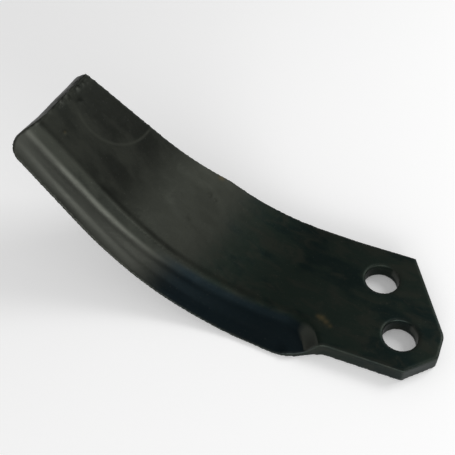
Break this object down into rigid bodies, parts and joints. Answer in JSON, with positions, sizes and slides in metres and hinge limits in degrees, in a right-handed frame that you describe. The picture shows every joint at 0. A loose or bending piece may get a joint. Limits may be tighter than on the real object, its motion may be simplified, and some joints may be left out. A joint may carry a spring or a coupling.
{
  "type": "rotary tiller blade",
  "caption": "Forged soil-cutting blade: a flat bolt-on shank that bends up into a curved cutting end, with a hollow bevel along its leading edge.",
  "frame": {"origin": "midway between the bolt holes, on the mounting face (the flat underside of the shank)", "axes": "+Z out of the opposite face, which is also the way the cutting end bends; +Y through both bolt holes, away from the cutting edge; the blade leads away towards -X"},
  "size_m": [0.171, 0.1263, 0.0789],
  "materials": {
    "forged_steel": "hardened spring steel under thin dark forge scale, half matt, with lighter grey on the bend and along the bevel"
  },
  "bodies": {
    "root": {"tiller_blade": "forged_steel"}
  },
  "joints": []
}
